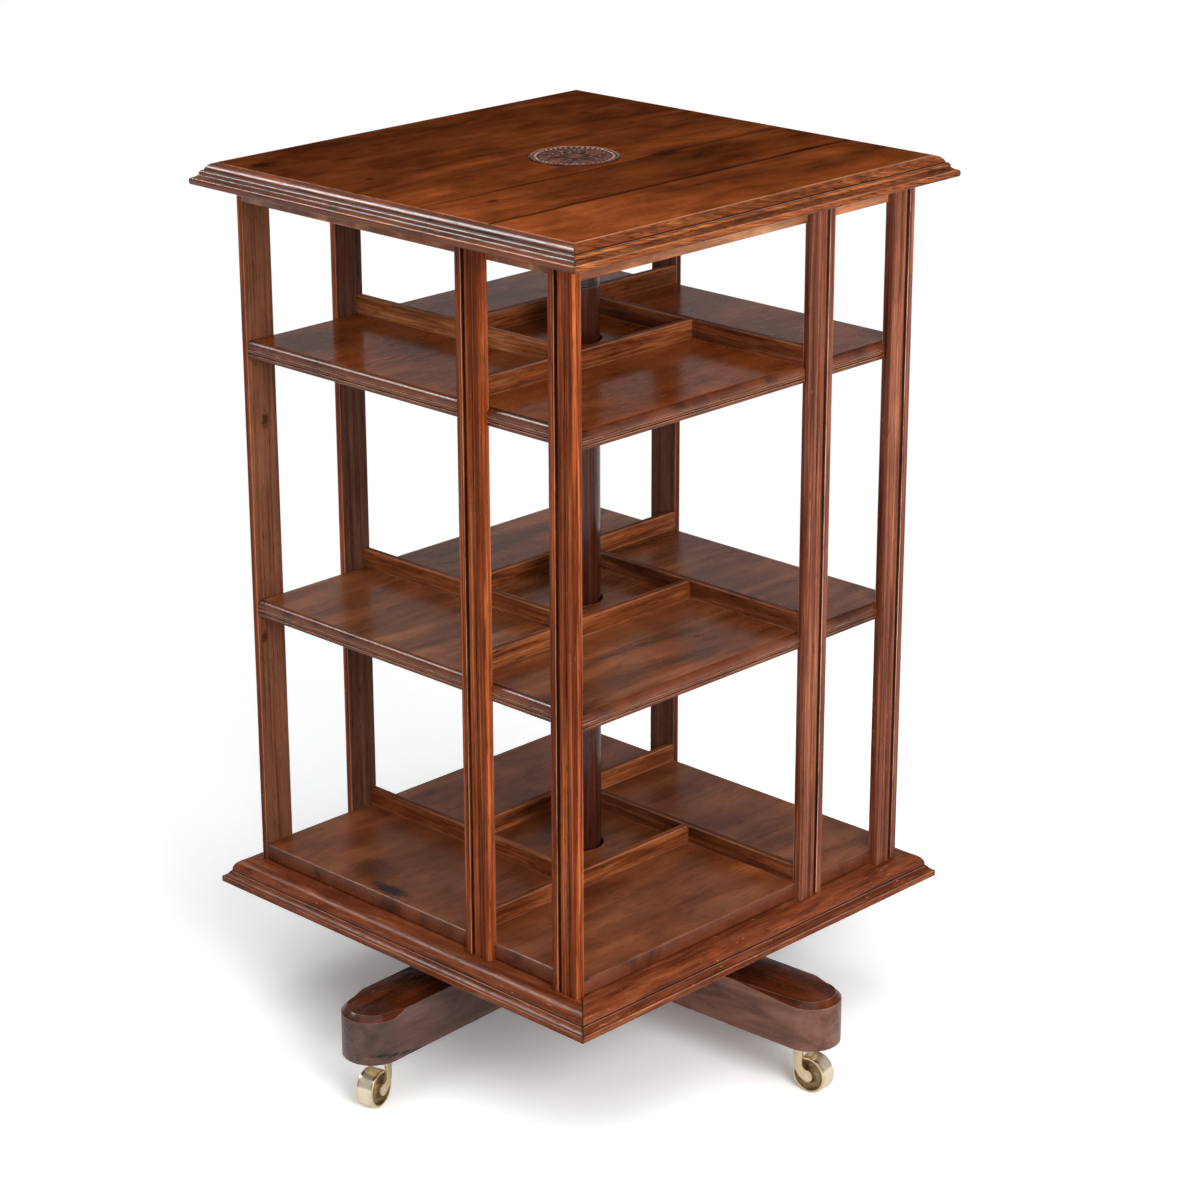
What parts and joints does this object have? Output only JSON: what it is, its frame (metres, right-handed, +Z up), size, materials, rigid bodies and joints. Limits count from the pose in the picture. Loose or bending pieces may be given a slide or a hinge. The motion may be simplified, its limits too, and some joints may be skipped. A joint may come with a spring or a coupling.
{
  "type": "revolving bookcase",
  "caption": "Floor-standing wooden bookcase with open square shelves between moulded uprights, which turns on a central column over a castored cross base.",
  "frame": {"origin": "on the floor, at the middle of the base, on the axis of the column that the case turns about", "axes": "+Z up along the column; the case's sides face -Y, +X, +Y and -X in the pictured position, and the arms of the cross stand 2.86 degrees further round"},
  "size_m": [0.6372, 0.6372, 0.8533],
  "materials": {
    "top_wood": "french polished",
    "moulding_wood": "french polished",
    "upright_wood": "french polished",
    "divider_wood": "polished",
    "shelf_wood": "worn varnish",
    "base_wood": "polished",
    "column_wood": "dark stained, polished",
    "medallion_wood": "carved, polished",
    "dark_iron": "black japanned",
    "steel": "turned",
    "castor_brass": "polished"
  },
  "bodies": {
    "base": {"cross_beam_ew": "base_wood", "cross_beam_ns": "base_wood", "column": "column_wood", "column_cap": "dark_iron", "pivot_pin": "steel", "castor_screws": "castor_brass", "castor_plate_south": "castor_brass", "castor_plate_east": "castor_brass", "castor_plate_north": "castor_brass", "castor_plate_west": "castor_brass"},
    "case": {"top_board": "top_wood", "top_moulding_south": "moulding_wood", "top_moulding_east": "moulding_wood", "top_moulding_north": "moulding_wood", "top_moulding_west": "moulding_wood", "medallion": "medallion_wood", "sub_top": "shelf_wood", "bearing_cup": "dark_iron", "guide_ring": "dark_iron", "bearing_screws": "steel", "upright_south_corner": "upright_wood", "upright_south_inner": "upright_wood", "upright_east_corner": "upright_wood", "upright_east_inner": "upright_wood", "upright_north_corner": "upright_wood", "upright_north_inner": "upright_wood", "upright_west_corner": "upright_wood", "upright_west_inner": "upright_wood", "shelf_lower": "shelf_wood", "shelf_upper": "shelf_wood", "bottom_board": "shelf_wood", "plinth_south": "moulding_wood", "plinth_east": "moulding_wood", "plinth_north": "moulding_wood", "plinth_west": "moulding_wood", "divider_bottom_south": "divider_wood", "divider_bottom_east": "divider_wood", "divider_bottom_north": "divider_wood", "divider_bottom_west": "divider_wood", "divider_lower_south": "divider_wood", "divider_lower_east": "divider_wood", "divider_lower_north": "divider_wood", "divider_lower_west": "divider_wood", "divider_upper_south": "divider_wood", "divider_upper_east": "divider_wood", "divider_upper_north": "divider_wood", "divider_upper_west": "divider_wood"},
    "castor_south": {"castor_horn_south": "castor_brass", "castor_axle_south": "steel"},
    "wheel_south": {"castor_wheel_south": "castor_brass"},
    "castor_east": {"castor_horn_east": "castor_brass", "castor_axle_east": "steel"},
    "wheel_east": {"castor_wheel_east": "castor_brass"},
    "castor_north": {"castor_horn_north": "castor_brass", "castor_axle_north": "steel"},
    "wheel_north": {"castor_wheel_north": "castor_brass"},
    "castor_west": {"castor_horn_west": "castor_brass", "castor_axle_west": "steel"},
    "wheel_west": {"castor_wheel_west": "castor_brass"}
  },
  "joints": [
    {"name": "case_spin", "type": "hinge", "parent": "base", "child": "case", "pos_m": [0, 0, 0.15], "axis": [0, 0, 1], "continuous": true},
    {"name": "castor_south_swivel", "type": "hinge", "parent": "base", "child": "castor_south", "pos_m": [0.01397, -0.27965, 0.0504], "axis": [0, 0, 1], "continuous": true},
    {"name": "wheel_south_roll", "type": "hinge", "parent": "castor_south", "child": "wheel_south", "pos_m": [0.01793, -0.2936, 0.0183], "axis": [0.9619, 0.2733, 0], "continuous": true},
    {"name": "castor_east_swivel", "type": "hinge", "parent": "base", "child": "castor_east", "pos_m": [0.27965, 0.01397, 0.0504], "axis": [0, 0, 1], "continuous": true},
    {"name": "wheel_east_roll", "type": "hinge", "parent": "castor_east", "child": "wheel_east", "pos_m": [0.29407, 0.01548, 0.0183], "axis": [-0.1038, 0.9946, 0], "continuous": true},
    {"name": "castor_north_swivel", "type": "hinge", "parent": "base", "child": "castor_north", "pos_m": [-0.01397, 0.27965, 0.0504], "axis": [0, 0, 1], "continuous": true},
    {"name": "wheel_north_roll", "type": "hinge", "parent": "castor_north", "child": "wheel_north", "pos_m": [-0.01292, 0.29411, 0.0183], "axis": [-0.9974, 0.0722, 0], "continuous": true},
    {"name": "castor_west_swivel", "type": "hinge", "parent": "base", "child": "castor_west", "pos_m": [-0.27965, -0.01397, 0.0504], "axis": [0, 0, 1], "continuous": true},
    {"name": "wheel_west_roll", "type": "hinge", "parent": "castor_west", "child": "wheel_west", "pos_m": [-0.29384, -0.01695, 0.0183], "axis": [0.2055, -0.9787, 0], "continuous": true}
  ]
}
